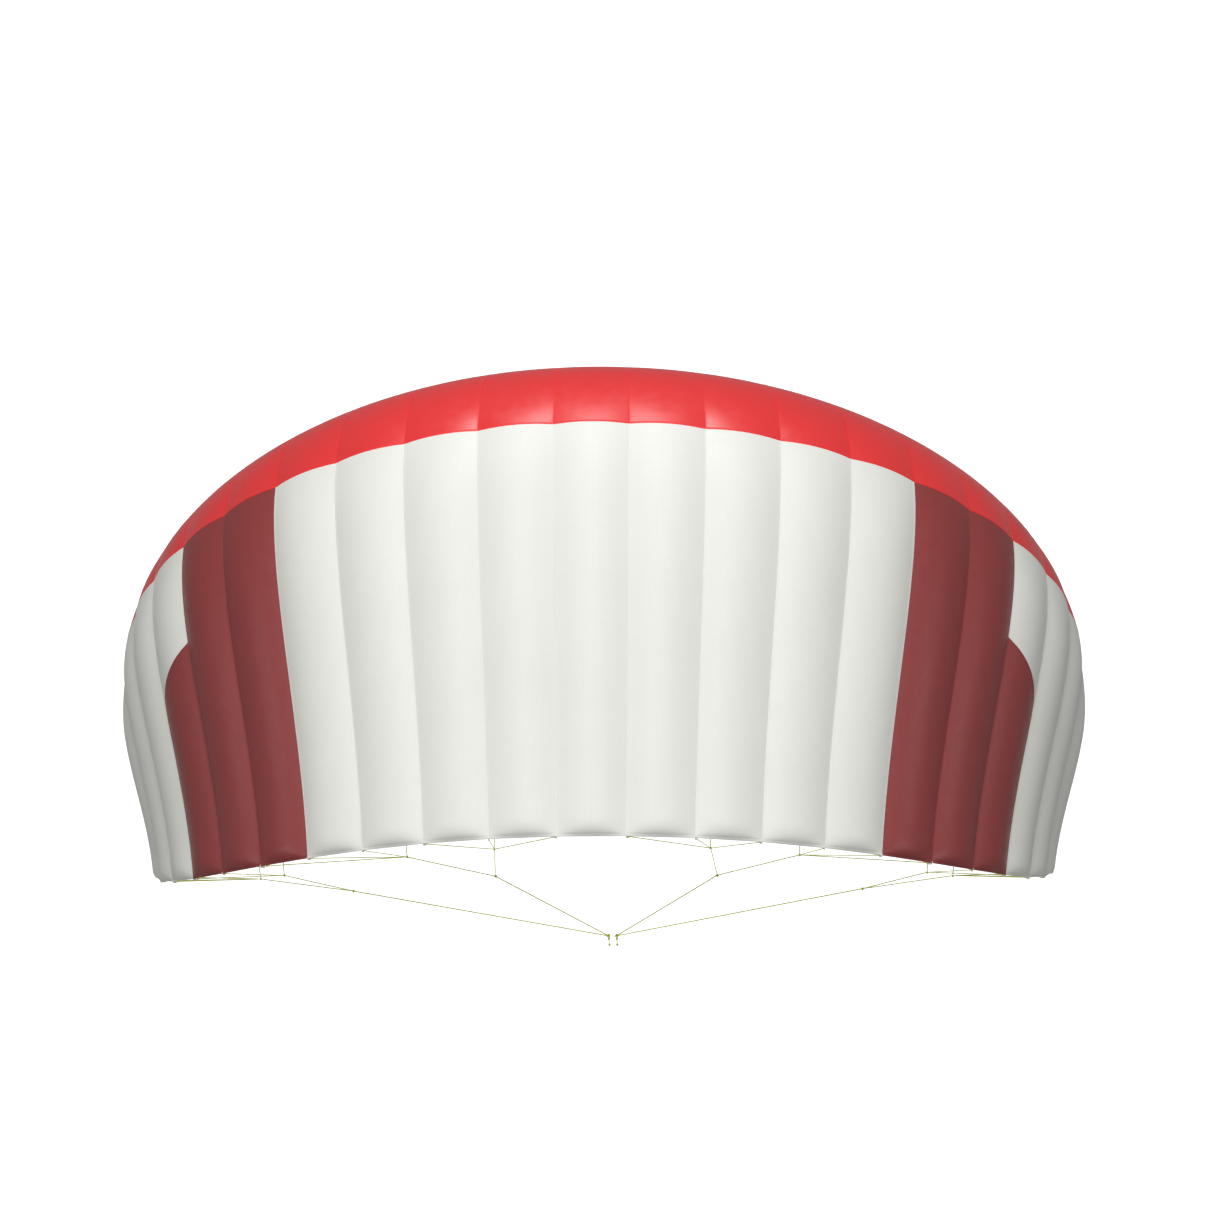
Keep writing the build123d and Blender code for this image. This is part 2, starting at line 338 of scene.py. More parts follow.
def ripstop(name, colour, roughness=0.50, sheen=0.25, gloss=0.5):
    """Coated ripstop: a fine weave with a raised thread every 5 mm both ways, slightly uneven in tone."""
    graph = Graph(name, colour, roughness, sheen, gloss)
    across, along = graph.axes(graph.uv())
    thread = graph.math("MAXIMUM", graph.stripes(across, 0.005, 0.09), graph.stripes(along, 0.005, 0.09))
    weave = graph.math("MULTIPLY", graph.stripes(across, 0.0006, 0.3), graph.stripes(along, 0.0006, 0.3))
    tone = graph.range(graph.noise(5.0), 0.3, 0.7, 0, 1)
    cloud = graph.mix(tone, graph.darker(0.95), graph.darker(0.98))
    graph.join(graph.mix(thread, cloud, graph.darker(0.88)), graph.shader.inputs["Base Color"])
    wear = graph.range(graph.noise(40.0), 0.3, 0.7, roughness - 0.05, roughness + 0.06)
    graph.join(wear, graph.shader.inputs["Roughness"])
    height = graph.math("ADD", thread, graph.math("MULTIPLY", weave, 0.3))
    graph.bump(height, 0.25, 0.0001)
    return graph.material


def stitched(name, colour):
    """Folded cloth with a row of lockstitch on each side of its middle."""
    graph = Graph(name, colour, 0.5, 0.2)
    across, along = graph.axes(graph.uv())
    side = graph.math("ABSOLUTE", across)
    off_row = graph.math("ABSOLUTE", graph.math("SUBTRACT", side, 0.0016))
    row = graph.range(off_row, 0.0002, 0.0004, 1, 0)
    dash = graph.stripes(along, 0.0036, 0.36)
    stitch = graph.math("MULTIPLY", row, dash)
    graph.join(graph.mix(stitch, graph.darker(0.97), graph.darker(0.72)), graph.shader.inputs["Base Color"])
    graph.bump(graph.math("SUBTRACT", stitch, graph.math("MULTIPLY", row, 0.6)), 0.5, 0.0003)
    return graph.material


def crossed_waves(graph, scale):
    place = graph.add("ShaderNodeTexCoord").outputs["Object"]
    waves = []
    for turn in (0.9, -0.9):
        mapping = graph.add("ShaderNodeMapping", {"Vector": place, "Rotation": (turn, turn, turn)})
        inputs = {"Vector": mapping.outputs[0], "Scale": scale}
        wave = graph.add("ShaderNodeTexWave", inputs, bands_direction="DIAGONAL")
        waves.append(wave.outputs["Fac"])
    return graph.math("MAXIMUM", *waves)


def braid(name, colour, scale):
    """Braided line: crossing strands, with painted shade darker between them."""
    graph = Graph(name, colour, 0.6, 0, 0.2)
    strands = crossed_waves(graph, scale)
    # painted shade: the line's colour darkens in the grooves between the strands, where shade would fall
    graph.join(graph.mix(strands, graph.darker(0.86), graph.colour), graph.shader.inputs["Base Color"])
    graph.bump(strands, 0.4, 0.0002)
    return graph.material


def webbing(name, colour):
    graph = Graph(name, colour, 0.65, 0.3)
    strands = crossed_waves(graph, 190)
    # painted shade: the webbing's colour darkens in the grooves between its strands, where shade would fall
    graph.join(graph.mix(strands, graph.darker(0.8), graph.colour), graph.shader.inputs["Base Color"])
    graph.bump(strands, 0.7, 0.0003)
    return graph.material


# ---- the kite's shape ----


def arc_stations():
    """x, z, slope and arc length of each rib's chord line, the centre plane first."""
    widths = [CENTRE_CELL_WIDTH / 2]
    for cell in range(1, OUTER_CELLS + 1):
        widths.append(CENTRE_CELL_WIDTH * (1 - TIP_NARROWING * (cell / OUTER_CELLS) ** 2))
    half_span = sum(widths)
    steps = 60
    x, z, arc = 0.0, 0.0, 0.0
    stations = [(x, z, 0.0, arc)]
    for width in widths:
        for _ in range(steps):
            arc += width / steps
            slope = TIP_ANGLE * ((arc - width / steps / 2) / half_span) ** ARC_POWER
            x += math.cos(slope) * width / steps
            z -= math.sin(slope) * width / steps
        stations.append((x, z, TIP_ANGLE * (arc / half_span) ** ARC_POWER, arc))
    return stations


STATIONS = arc_stations()
HALF_SPAN = STATIONS[-1][3]


def mirrored(vector):
    return Vector((-vector.x, vector.y, vector.z))


def sided(vector, sign):
    return mirrored(vector) if sign < 0 else vector.copy()


def rib_frame(index):
    """Leading-edge y, chord, chord-line point and up vector scaled by the chord, of one rib."""
    if index < 0:
        leading, chord, base, up = rib_frame(-index)
        return leading, chord, mirrored(base), mirrored(up)
    x, z, slope, arc = STATIONS[index]
    share = arc / HALF_SPAN
    chord = ROOT_CHORD * lerp(TIP_CHORD_SHARE, 1, math.sqrt(1 - min(share, 1) ** 2))
    trailing = TRAILING_EDGE_Y + TIP_SWEEP * share**SWEEP_POWER
    base = Vector((x, 0, CHORD_LINE_Z + z))
    up = Vector((math.sin(slope), 0, math.cos(slope))) * chord
    return trailing + chord, chord, base, up


def section(u):
    """Chord share and height share at u: -1 lower trailing edge, 0 nose, 1 upper trailing edge."""
    c = u * u
    fullness, taper = (UPPER_FULLNESS, UPPER_TAPER) if u > 0 else (LOWER_FULLNESS, LOWER_TAPER)
    return c, fullness * abs(u) * (1 - c) * (1 - taper * c)


def outline_point(frame_, u):
    leading, chord, base, up = frame_
    c, height = section(u)
    return Vector((base.x, leading - c * chord, base.z)) + up * height


def between(west, east, t):
    a, b = rib_frame(west), rib_frame(east)
    return tuple(lerp(a[i], b[i], t) for i in range(4))


def swell(u, t):
    """How far the cloth stands off the straight line from rib to rib, over the cell's width."""
    c = u * u
    crown = TOP_SWELL if u > 0 else LOWER_SWELL
    growth = lerp(NOSE_SWELL, 1, smoothstep(c / SWELL_FULL))
    rear = min((HEM_START - c) / EDGE_ROUND, 1)
    closing = math.sqrt(max(1 - (1 - rear) ** 2, 0)) if rear > 0 else 0
    return crown * growth * closing * 4 * t * (1 - t)


def cloth_point(west, east, t, u, lift=0.0):
    """A point on the blown-up cloth between two ribs, or that far outside it."""
    step = 0.002
    here = between(west, east, t)
    along = outline_point(here, u + step) - outline_point(here, u - step)
    east_point = outline_point(between(west, east, t + step), u)
    across = east_point - outline_point(between(west, east, t - step), u)
    normal = along.cross(across).normalized()
    width = across.length / (2 * step) * lerp(TIP_SWELL, 1, here[1] / ROOT_CHORD)
    return outline_point(here, u) + normal * (swell(u, t) * width + lift)


def spread(start, end, count):
    return [lerp(start, end, i / (count - 1)) for i in range(count)]


def eased(count, dense):
    """Shares from 0 to 1 that crowd together at the start, at the end or nowhere."""
    shares = spread(0, 1, count)
    if dense == "start":
        return [1 - math.cos(math.pi / 2 * share) for share in shares]
    if dense == "end":
        return [math.sin(math.pi / 2 * share) for share in shares]
    return shares


def ends_of(cell, sign):
    """The ribs at the west and the east side of a cell."""
    return (cell, cell + 1) if sign > 0 else (-cell - 1, -cell)


def columns_of(cell, sign):
    """The ribs at a cell's sides and the places of its columns. Half of the centre cell has its
    middle column doubled, so that both halves meet level."""
    if cell:
        return (*ends_of(cell, sign), spread(0, 1, COLUMNS + 1))
    half = [0.5, 0.503, *spread(0.5, 1, COLUMNS // 2 + 2)[1:]]
    places = half if sign > 0 else [1 - place for place in reversed(half)]
    return -1, 1, places


def cloth_rows(cell, sign, start, end, count, lift=0.0, dense=""):
    """A grid on a cell's cloth. start and end give u for each place t across the cell, seen outwards."""
    west, east, places = columns_of(cell, sign)
    rows = []
    for v in eased(count, dense):
        row = []
        for t in places:
            outwards = t if sign > 0 else 1 - t
            row.append(cloth_point(west, east, t, lerp(start(outwards), end(outwards), v), lift))
        rows.append(row)
    return rows


# ---- meshes ----


def grid_normals(rows):
    normals = []
    for r, row in enumerate(rows):
        line = []
        for c in range(len(row)):
            along = rows[min(r + 1, len(rows) - 1)][c] - rows[max(r - 1, 0)][c]
            across = row[min(c + 1, len(row) - 1)] - row[max(c - 1, 0)]
            line.append(along.cross(across).normalized())
        normals.append(line)
    return normals


def running(points):
    """Distance along a line of points, at each of them."""
    total = [0.0]
    for a, b in zip(points, points[1:]):
        total.append(total[-1] + (b - a).length)
    return total


def grid_uv(rows):
    """Surface coordinates in metres, measured from the grid's middle column."""
    middle = running([row[len(row) // 2] for row in rows])
    grid = []
    for row, v in zip(rows, middle):
        distance = running(row)
        grid.append([(x - distance[-1] / 2, v) for x in distance])
    return grid


def uv_layer(bm):
    layers = bm.loops.layers.uv
    return layers.get("UVMap") or layers.new("UVMap")


def add_face(bm, corners, coordinates, material, smooth=True):
    face = bm.faces.new(corners)
    face.material_index = material
    face.smooth = smooth
    layer = uv_layer(bm)
    for loop, place in zip(face.loops, coordinates):
        loop[layer].uv = place
    return face


def add_shell(bm, rows, thickness, material=0, fold=None):
    """A closed thin sheet whose outer side lies on the grid, creased along the column called fold.
    material is a number or a choice by column."""
    choose = material if callable(material) else lambda column: material
    normals = grid_normals(rows)
    uv = grid_uv(rows)
    outer = [[bm.verts.new(p) for p in row] for row in rows]
    inner = [[bm.verts.new(p - n * thickness) for p, n in zip(*pair)] for pair in zip(rows, normals)]
    last_row, last_column = len(rows) - 1, len(rows[0]) - 1
    for r in range(last_row):
        for c in range(last_column):
            ring = [(r, c), (r + 1, c), (r + 1, c + 1), (r, c + 1)]
            places = [uv[i][j] for i, j in ring]
            add_face(bm, [outer[i][j] for i, j in ring], places, choose(c))
            add_face(bm, [inner[i][j] for i, j in reversed(ring)], places[::-1], choose(c))
            if c == fold:
                bm.edges.get((outer[r][c], outer[r + 1][c])).smooth = False
    rim = [(r, 0) for r in range(last_row)] + [(last_row, c) for c in range(last_column)]
    rim += [(r, last_column) for r in range(last_row, 0, -1)] + [(0, c) for c in range(last_column, 0, -1)]
    for (i, j), (k, m) in zip(rim, rim[1:] + rim[:1]):
        corners = [outer[i][j], inner[i][j], inner[k][m], outer[k][m]]
        places = [uv[i][j], uv[i][j], uv[k][m], uv[k][m]]
        face = add_face(bm, corners, places, choose(min(j, m, last_column - 1)), smooth=False)
        for edge in face.edges:
            edge.smooth = False


def add_tube(bm, points, radii, closed=False, sides=10):
    """A round tube along points, closed on itself or with flat ends."""
    count = len(points)
    previous = None
    rings = []
    for i, point in enumerate(points):
        ahead = points[(i + 1) % count] if closed or i < count - 1 else point
        behind = points[i - 1] if closed or i > 0 else point
        direction = (ahead - behind).normalized()
        if previous is None:
            previous = direction.orthogonal().normalized()
        side = (previous - direction * previous.dot(direction)).normalized()
        previous = side
        other = direction.cross(side)
        ring = []
        for k in range(sides):
            angle = 2 * math.pi * k / sides
            spoke = side * math.cos(angle) + other * math.sin(angle)
            ring.append(bm.verts.new(point + spoke * radii[i]))
        rings.append(ring)
    for a, b in zip(rings, rings[1:]):
        join_rings(bm, a, b, 0)
    if closed:
        join_rings(bm, rings[-1], rings[0], nearest_turn(rings[-1], rings[0]))
    else:
        add_face(bm, rings[0][::-1], [(0, 0)] * sides, 0, smooth=False)
        add_face(bm, rings[-1], [(0, 0)] * sides, 0, smooth=False)


def join_rings(bm, a, b, offset):
    """A band of faces from ring a to ring b, whose points are turned by offset places."""
    sides = len(a)
    for k in range(sides):
        after = (k + 1) % sides
        corners = [a[k], a[after], b[(after + offset) % sides], b[(k + offset) % sides]]
        places = [(k / sides, 0), (after / sides, 0), (after / sides, 1), (k / sides, 1)]
        add_face(bm, corners, places, 0)


def nearest_turn(a, b):
    """The turn of ring b that brings its first point nearest to ring a's."""
    return min(range(len(b)), key=lambda k: (b[k].co - a[0].co).length)


def make_piece(name, bm, materials):
    mesh = bpy.data.meshes.new(name)
    bm.to_mesh(mesh)
    bm.free()
    for material in materials:
        mesh.materials.append(material)
    piece = bpy.data.objects.new(name, mesh)
    bpy.context.collection.objects.link(piece)
    return piece


def settle(piece, cell, side, sign, slot, *nodes):
    """Rides a piece on its wing, or, for the centre cell, bakes its transform into its mesh; then hides the
    CAD nodes it stands for.
    """
    if cell:
        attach(piece, f"{side}_wing")
    else:
        hinge = rib_frame(sign)[2]
        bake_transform(piece)
    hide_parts(*nodes)
    return piece


# ---- cloth pieces ----


def constant(value):
    return lambda t: value


def front_lip(cell):
    """u of the leading-edge panel's lower edge: bowed at an intake, straight where there is none."""
    bow = LIP_BOW if cell <= INTAKE_CELLS else 0
    return lambda t: -math.sqrt(LIP_END * (1 - bow * math.sin(math.pi * t)))


def rear_lip(cell):
    if cell > INTAKE_CELLS:
        return constant(-math.sqrt(LIP_END))
    return lambda t: -math.sqrt(INTAKE_END + REAR_LIP_BOW * math.sin(math.pi * t))


def diagonal(t):
    """u where the dark panel of cell 7 starts: a convex line from rib 7 back to rib 8."""
    return math.sqrt(lerp(DIAGONAL_INNER, DIAGONAL_OUTER, 1 - math.sqrt(1 - min(max(t, 0), 1))))


def cell_name(cell, side):
    """The name of a cell's piece, with a gap for the kind of piece."""
    return f"{side}_{{}}_{cell}" if cell else f"centre_{side}_{{}}"


def node_name(cell, side, outer, centre):
    """The CAD node of a cell, whose name differs in the centre."""
    return f"{side}_{outer}" if cell else f"centre_{centre}"


def add_cell_cloth(cell, side, sign, cloths):
    """A cell's cloths, each cut between two lines that run across the cell."""
    band, rear = constant(math.sqrt(BAND_END)), constant(math.sqrt(HEM_START))
    lower_rear = constant(-math.sqrt(HEM_START))
    nose_node = node_name(cell, side, "leading_edge_panels", "leading_edge_panel")
    lower_node = node_name(cell, side, "bottom_panels", "bottom_panel")
    top_node = node_name(cell, side, f"top_panel_{cell}", "top_panel")
    cuts = [
        ("nose_cloth", "red", nose_node, front_lip(cell), band, NOSE_ROWS, ""),
        ("lower_cloth", "lower", lower_node, lower_rear, rear_lip(cell), LOWER_ROWS, "start"),
    ]
    if cell == DIAGONAL_CELL:
        cuts.append(("top_front_cloth", "white", top_node, band, diagonal, TOP_FRONT_ROWS, ""))
        cuts.append(("top_rear_cloth", "dark", top_node, diagonal, rear, TOP_REAR_ROWS, "end"))
    else:
        key = "dark" if cell in DARK_RED_CELLS else "white"
        cuts.append(("top_cloth", key, top_node, band, rear, TOP_ROWS, "end"))
    for kind, key, node, start, end, count, dense in cuts:
        rows = cloth_rows(cell, sign, start, end, count, dense=dense)
        bm = bmesh.new()
        add_shell(bm, rows, CLOTH)
        piece = make_piece(cell_name(cell, side).format(kind), bm, [cloths[key]])
        settle(piece, cell, side, sign, CLOTH_SLOTS[key], node)


def hem_rows(cell, sign):
    """The folded edge behind the skins: over, round and under."""
    west, east, places = columns_of(cell, sign)
    start = math.sqrt(HEM_START - 0.001)
    half = CLOTH * 1.6
    rows = []
    for share, round_edge in ((0, 0), (0.5, 0), (0.93, 0), (1, 0.5), (0.93, 1), (0.5, 1), (0, 1)):
        row = []
        for t in places:
            top = cloth_point(west, east, t, start, SEAM_LIFT)
            end = outline_point(between(west, east, t), 1)
            low = cloth_point(west, east, t, -start, SEAM_LIFT)
            up = between(west, east, t)[3].normalized()
            upper = lerp(top, end + up * half, share)
            lower = lerp(low, end - up * half, share)
            row.append(lerp(upper, lower, round_edge))
        rows.append(row)
    return rows[::-1]


def add_hem(side, sign, cloths):
    """The hem of the trailing edge: the outer cells as one piece, and half of the centre cell."""
    for name, cells in ((f"{side}_rear_hem", range(1, RIBS)), (f"centre_{side}_rear_hem", (0,))):
        bm = bmesh.new()
        for cell in cells:
            add_shell(bm, hem_rows(cell, sign), CLOTH / 2, 1 if cell in DARK_RED_CELLS else 0)
        piece = make_piece(name, bm, [cloths["white"], cloths["dark"]])
        node = node_name(cells[0], side, "trailing_edge_tape", "trailing_edge_tape")
        settle(piece, cells[0], side, sign, "hem_tape", node)


def beside_rib(index, sign, u, distance):
    """A point on the cloth at a signed distance outwards from a rib, or inwards where it is negative."""
    cell = index if distance > 0 else index - 1
    inner, outer = (cell, cell + 1) if cell else (-1, 1)
    a, b = rib_frame(inner), rib_frame(outer)
    t = distance / (b[2] - a[2]).length
    t = t if distance > 0 else 1 + t
    return sided(cloth_point(inner, outer, t, u), sign)


def rib_seam_rows(index, sign, start, end, count):
    """A strip folded over the seam on one rib, from u start to u end."""
    rows = []
    for u in spread(start, end, count):
        points = [beside_rib(index, sign, u, d) for d in (-SEAM_WIDTH, -ON_RIB, ON_RIB, SEAM_WIDTH)]
        centre = (points[1] + points[2]) / 2
        row = [points[0], centre, points[3]]
        rows.append(row if sign > 0 else row[::-1])
    return lifted(rows, SEAM_LIFT)


def lifted(rows, lift):
    normals = grid_normals(rows)
    return [[p + n * lift for p, n in zip(*pair)] for pair in zip(rows, normals)]


def seam_material(index, sign, u):
    """Which cloth the seam's two columns take: 0 white, 1 dark red, 2 red."""
    if -math.sqrt(LIP_END) <= u < math.sqrt(BAND_END):
        return lambda column: 2
    if u < 0:
        return lambda column: 0

    def choose(column):
        outwards = column == (1 if sign > 0 else 0)
        cell = index if outwards else index - 1
        if cell == DIAGONAL_CELL:
            return 1 if u * u > (DIAGONAL_INNER if index == DIAGONAL_CELL else DIAGONAL_OUTER) else 0
        return 1 if cell in DARK_RED_CELLS else 0

    return choose


def add_seams(side, sign, cloths):
    """The seams along the ribs and along the band, and the hems at the intakes."""
    materials = [cloths["white_seam"], cloths["dark_seam"], cloths["red_seam"]]
    bm = bmesh.new()
    rear, band, lip = math.sqrt(HEM_START), math.sqrt(BAND_END), math.sqrt(LIP_END)
    breaks = [band, math.sqrt(DIAGONAL_INNER), math.sqrt(DIAGONAL_OUTER), rear]
    for index in range(1, RIBS):
        parts = [(-rear, -lip, 26), (-lip, band, 16)] + [(a, b, 12) for a, b in zip(breaks, breaks[1:])]
        for start, end, count in parts:
            rows = rib_seam_rows(index, sign, start, end, count)
            add_shell(bm, rows, SEAM_LIFT, seam_material(index, sign, (start + end) / 2), fold=1)
    for cell in range(1, RIBS):
        add_cross_seams(bm, cell, sign)
    piece = make_piece(f"{side}_seams", bm, materials)
    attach(piece, f"{side}_wing")
    bm = bmesh.new()
    add_cross_seams(bm, 0, sign)
    piece = make_piece(f"centre_{side}_seams", bm, materials)
    settle(piece, 0, side, sign, "hem_tape")


def add_cross_seams(bm, cell, sign):
    """The strips that run across one cell: at the band, at the diagonal, and round the intake."""
    chord = rib_frame(max(cell, 1))[1]

    def strip(edge, ahead, behind, material):
        def shifted(distance):
            return lambda t: edge(t) + distance / (chord * max(2 * abs(edge(t)), 0.4))

        rows = cloth_rows(cell, sign, shifted(ahead), shifted(behind), 3, SEAM_LIFT)
        add_shell(bm, rows, SEAM_LIFT, material)

    strip(constant(math.sqrt(BAND_END)), -2 * SEAM_WIDTH, 0, 2)
    if cell == DIAGONAL_CELL:
        strip(diagonal, 0, 2 * SEAM_WIDTH, 1)
    if cell <= INTAKE_CELLS:
        strip(front_lip(cell), 0, HEM_WIDTH, 2)
        strip(rear_lip(cell), -HEM_WIDTH, 0, 0)


# ---- ribs and tips ----


def flat_curve(loops, depth):
    """A flat filled shape with holes, as a mesh in the XY plane."""
    curve = bpy.data.curves.new("flat", "CURVE")
    curve.dimensions = "2D"
    curve.fill_mode = "BOTH"
    curve.extrude = depth / 2
    for loop in loops:
        spline = curve.splines.new("POLY")
        spline.points.add(len(loop) - 1)
        for point, (x, y) in zip(spline.points, loop):
            point.co = (x, y, 0, 1)
        spline.use_cyclic_u = True
    holder = bpy.data.objects.new("flat", curve)
    mesh = bpy.data.meshes.new_from_object(holder)
    bpy.data.objects.remove(holder)
    bpy.data.curves.remove(curve)
    return mesh


def circle(x, y, radius):
    steps = 40
    turns = [2 * math.pi * k / steps for k in range(steps)]
    return [(x + radius * math.cos(a), y + radius * math.sin(a)) for a in turns]


def rib_vents(chord):
    vents = []
    for place in VENT_PLACES:
        top, low = section(math.sqrt(place))[1] * chord, section(-math.sqrt(place))[1] * chord
        vents.append((-place * chord, (top + low) / 2, (top - low) / 2 * VENT_SHARE))
    return vents


def add_rib(index, side, sign, cloths):
    """A rib of cloth with round vents, each bound with a ring of tape."""
    leading, chord, base, up = rib_frame(sign * index)
    outline = []
    for u in spread(-math.sqrt(RIB_END), math.sqrt(RIB_END), 90):
        c, height = section(u)
        outline.append((-c * chord, height * chord * 0.995))
    vents = rib_vents(chord)
    bm = bmesh.new()
    bm.from_mesh(flat_curve([outline] + [circle(*vent) for vent in vents], RIB_CLOTH))
    for x, y, radius in vents:
        rims = [circle(x, y, radius + VENT_TAPE), circle(x, y, radius - VENT_TAPE / 4)]
        bm.from_mesh(flat_curve(rims, 3 * RIB_CLOTH))
    layer = uv_layer(bm)
    for face in bm.faces:
        for loop in face.loops:
            loop[layer].uv = loop.vert.co.xy
    forward, upward = Vector((0, 1, 0)), up.normalized()
    turn = Matrix((forward, upward, forward.cross(upward))).transposed().to_4x4()
    bm.transform(Matrix.Translation((base.x, leading, base.z)) @ turn)
    piece = make_piece(f"{side}_rib_{index}", bm, [cloths["rib"]])
    settle(piece, index, side, sign, "rib_cloth", f"{side}_ribs")


def add_tip(side, sign, cloths):
    """The closed end: a panel that bellies out a little."""
    leading, chord, base, up = rib_frame(RIBS)
    outwards = Vector((0, 1, 0)).cross(up.normalized())
    rows = []
    for c in [math.sin(v * math.pi / 2) ** 2 for v in spread(0.02, 0.985, 26)]:
        low = outline_point((leading, chord, base, up), -math.sqrt(c))
        high = outline_point((leading, chord, base, up), math.sqrt(c))
        row = []
        for v in spread(0, 1, 9):
            crown = 4 * v * (1 - v) * math.sqrt(1 - abs(2 * c - 1) ** 3) * TIP_BELLY
            row.append(sided(lerp(low, high, v) + outwards * crown, sign))
        rows.append(row if sign > 0 else row[::-1])
    bm = bmesh.new()
    add_shell(bm, rows, -CLOTH)
    bmesh.ops.recalc_face_normals(bm, faces=bm.faces)
    piece = make_piece(f"{side}_tip_cloth", bm, [cloths["white"]])
    settle(piece, RIBS, side, sign, "lower_cloth", f"{side}_tip_panel")


# ---- bridle ----


def cluster_of(index):
    return next(cluster for cluster in CLUSTERS if index in cluster[0])


def attachment(index, row):
    """Root and outward direction of a tab, and the chordwise direction that it is wide in."""
    frame_ = rib_frame(index)
    across = Vector((0, 1, 0)).cross(frame_[3].normalized())
    if row == "c":
        root = outline_point(frame_, 1)
        outward = (cluster_of(index)[2] - root).normalized()
    else:
        u = -math.sqrt(ROW_A if row == "a" else ROW_B)
        step = 0.001
        root = outline_point(frame_, u)
        along = (outline_point(frame_, u + step) - outline_point(frame_, u - step)).normalized()
        outward = across.cross(along)
        outward = outward if outward.z < 0 else -outward
    return root, outward, across


def tab_gap(row):
    return REAR_TAB_GAP if row == "c" else TAB_GAP


def tab_end(index, row):
    root, outward, _ = attachment(index, row)
    return root + outward * (tab_gap(row) + TAB_LENGTH)


def add_tab(bm, index, row, sign):
    """A loop of webbing sewn into the seam, with an eye at its end."""
    root, outward, across = attachment(index, row)
    wide = outward.cross(across).normalized()
    thick, eye = 0.0005, 0.0016
    length = tab_gap(row) + TAB_LENGTH
    profile = [(-0.003, thick / 2), (length * 0.45, thick / 2), (length - 2.2 * eye, eye * 0.7)]
    for angle in spread(math.pi * 0.5, 0, 5):
        profile.append((length - eye + eye * math.cos(angle), eye * math.sin(angle)))
    both = profile + [(x, -y) for x, y in reversed(profile[:-1])]
    rows = []
    for share in (-0.5, 0.5):
        row_points = [root + outward * x + across * y + wide * share * TAB_WIDTH for x, y in both]
        rows.append([sided(p, sign) for p in row_points])
    add_shell(bm, rows, thick if sign > 0 else -thick)


def add_patch(bm, index, row, sign):
    """A pointed patch of doubled cloth round a tab of row a or b."""
    u_middle = -math.sqrt(ROW_A if row == "a" else ROW_B)
    chord = rib_frame(index)[1]
    rows = []
    for v in spread(-1, 1, 7):
        u = u_middle + v * 0.026 / (2 * abs(u_middle) * chord)
        half = lerp(0.015, 0.006, v * v)
        places = [-half, -half / 2, -ON_RIB, half / 2, half]
        if index == RIBS:
            places = [-half, -half * 0.75, -half / 2, -half / 4, -ON_RIB]
        row_points = [beside_rib(index, sign, u, d) for d in places]
        rows.append(row_points if sign > 0 else row_points[::-1])
    add_shell(bm, lifted(rows, SEAM_LIFT * 1.5), SEAM_LIFT)


def ring_points(centre, a, b, radius_a, radius_b, steps=18):
    turns = [2 * math.pi * k / steps for k in range(steps)]
    return [centre + a * math.cos(t) * radius_a + b * math.sin(t) * radius_b for t in turns]


def add_line_end(bm, index, row, sign, node):
    """The line's sewn loop through a tab's eye, and the sleeve behind it."""
    _, outward, across = attachment(index, row)
    wide = outward.cross(across).normalized()
    end = tab_end(index, row)
    run = (node - end).normalized()
    thick = UPPER_LINE * 0.4
    centre = end + run * 0.0028 - outward * 0.0008
    ring = ring_points(centre, run, wide, 0.0040, 0.0024)
    add_tube(bm, [sided(p, sign) for p in ring], [thick] * len(ring), closed=True, sides=6)
    start = centre + run * 0.0036
    places = [0, 0.0015, 0.012, 0.014]
    radii = [UPPER_LINE * share for share in (0.5, 0.78, 0.78, 0.5)]
    add_tube(bm, [sided(start + run * d, sign) for d in places], radii, sides=8)


def add_knot(bm, centre, axis, radius, thickness):
    """A tight trefoil knot, as a tube round a trefoil curve."""
    axis = axis.normalized()
    side = axis.orthogonal().normalized()
    other = axis.cross(side)
    steps = 60
    scale = radius / 3
    points = []
    for k in range(steps):
        a = 2 * math.pi * k / steps
        x = math.sin(a) + 2 * math.sin(2 * a)
        y = math.cos(a) - 2 * math.cos(2 * a)
        points.append(centre + (side * x + other * y - axis * 1.3 * math.sin(3 * a)) * scale)
    add_tube(bm, points, [thickness] * steps, closed=True, sides=8)


def line_curve(name, runs, diameter, material):
    """Lines of one diameter, each an open spline with its route's points as control points."""
    curve = bpy.data.curves.new(name, "CURVE")
    curve.dimensions = "3D"
    curve.bevel_depth = diameter / 2
    curve.bevel_resolution = 3
    curve.resolution_u = 6
    curve.use_fill_caps = True
    for points in runs:
        spline = curve.splines.new("NURBS")
        spline.points.add(len(points) - 1)
        for point, place in zip(spline.points, points):
            point.co = (*place, 1)
        spline.order_u = 3
        spline.use_endpoint_u = True
    curve.materials.append(material)
    piece = bpy.data.objects.new(name, curve)
    bpy.context.collection.objects.link(piece)
    return piece


def straight(start, end, sign, start_gap, end_gap):
    """A taut run between two points, with a middle point that keeps its spline smooth."""
    run = (end - start).normalized()
    a, b = start + run * start_gap, end - run * end_gap
    return [sided(p, sign) for p in (a, (a + b) / 2, b)]


def add_free_line(name, side, points, diameter, material, node):
    piece = line_curve(name, [points], diameter, material)
    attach(piece, f"{side}_wing")
    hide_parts(node)


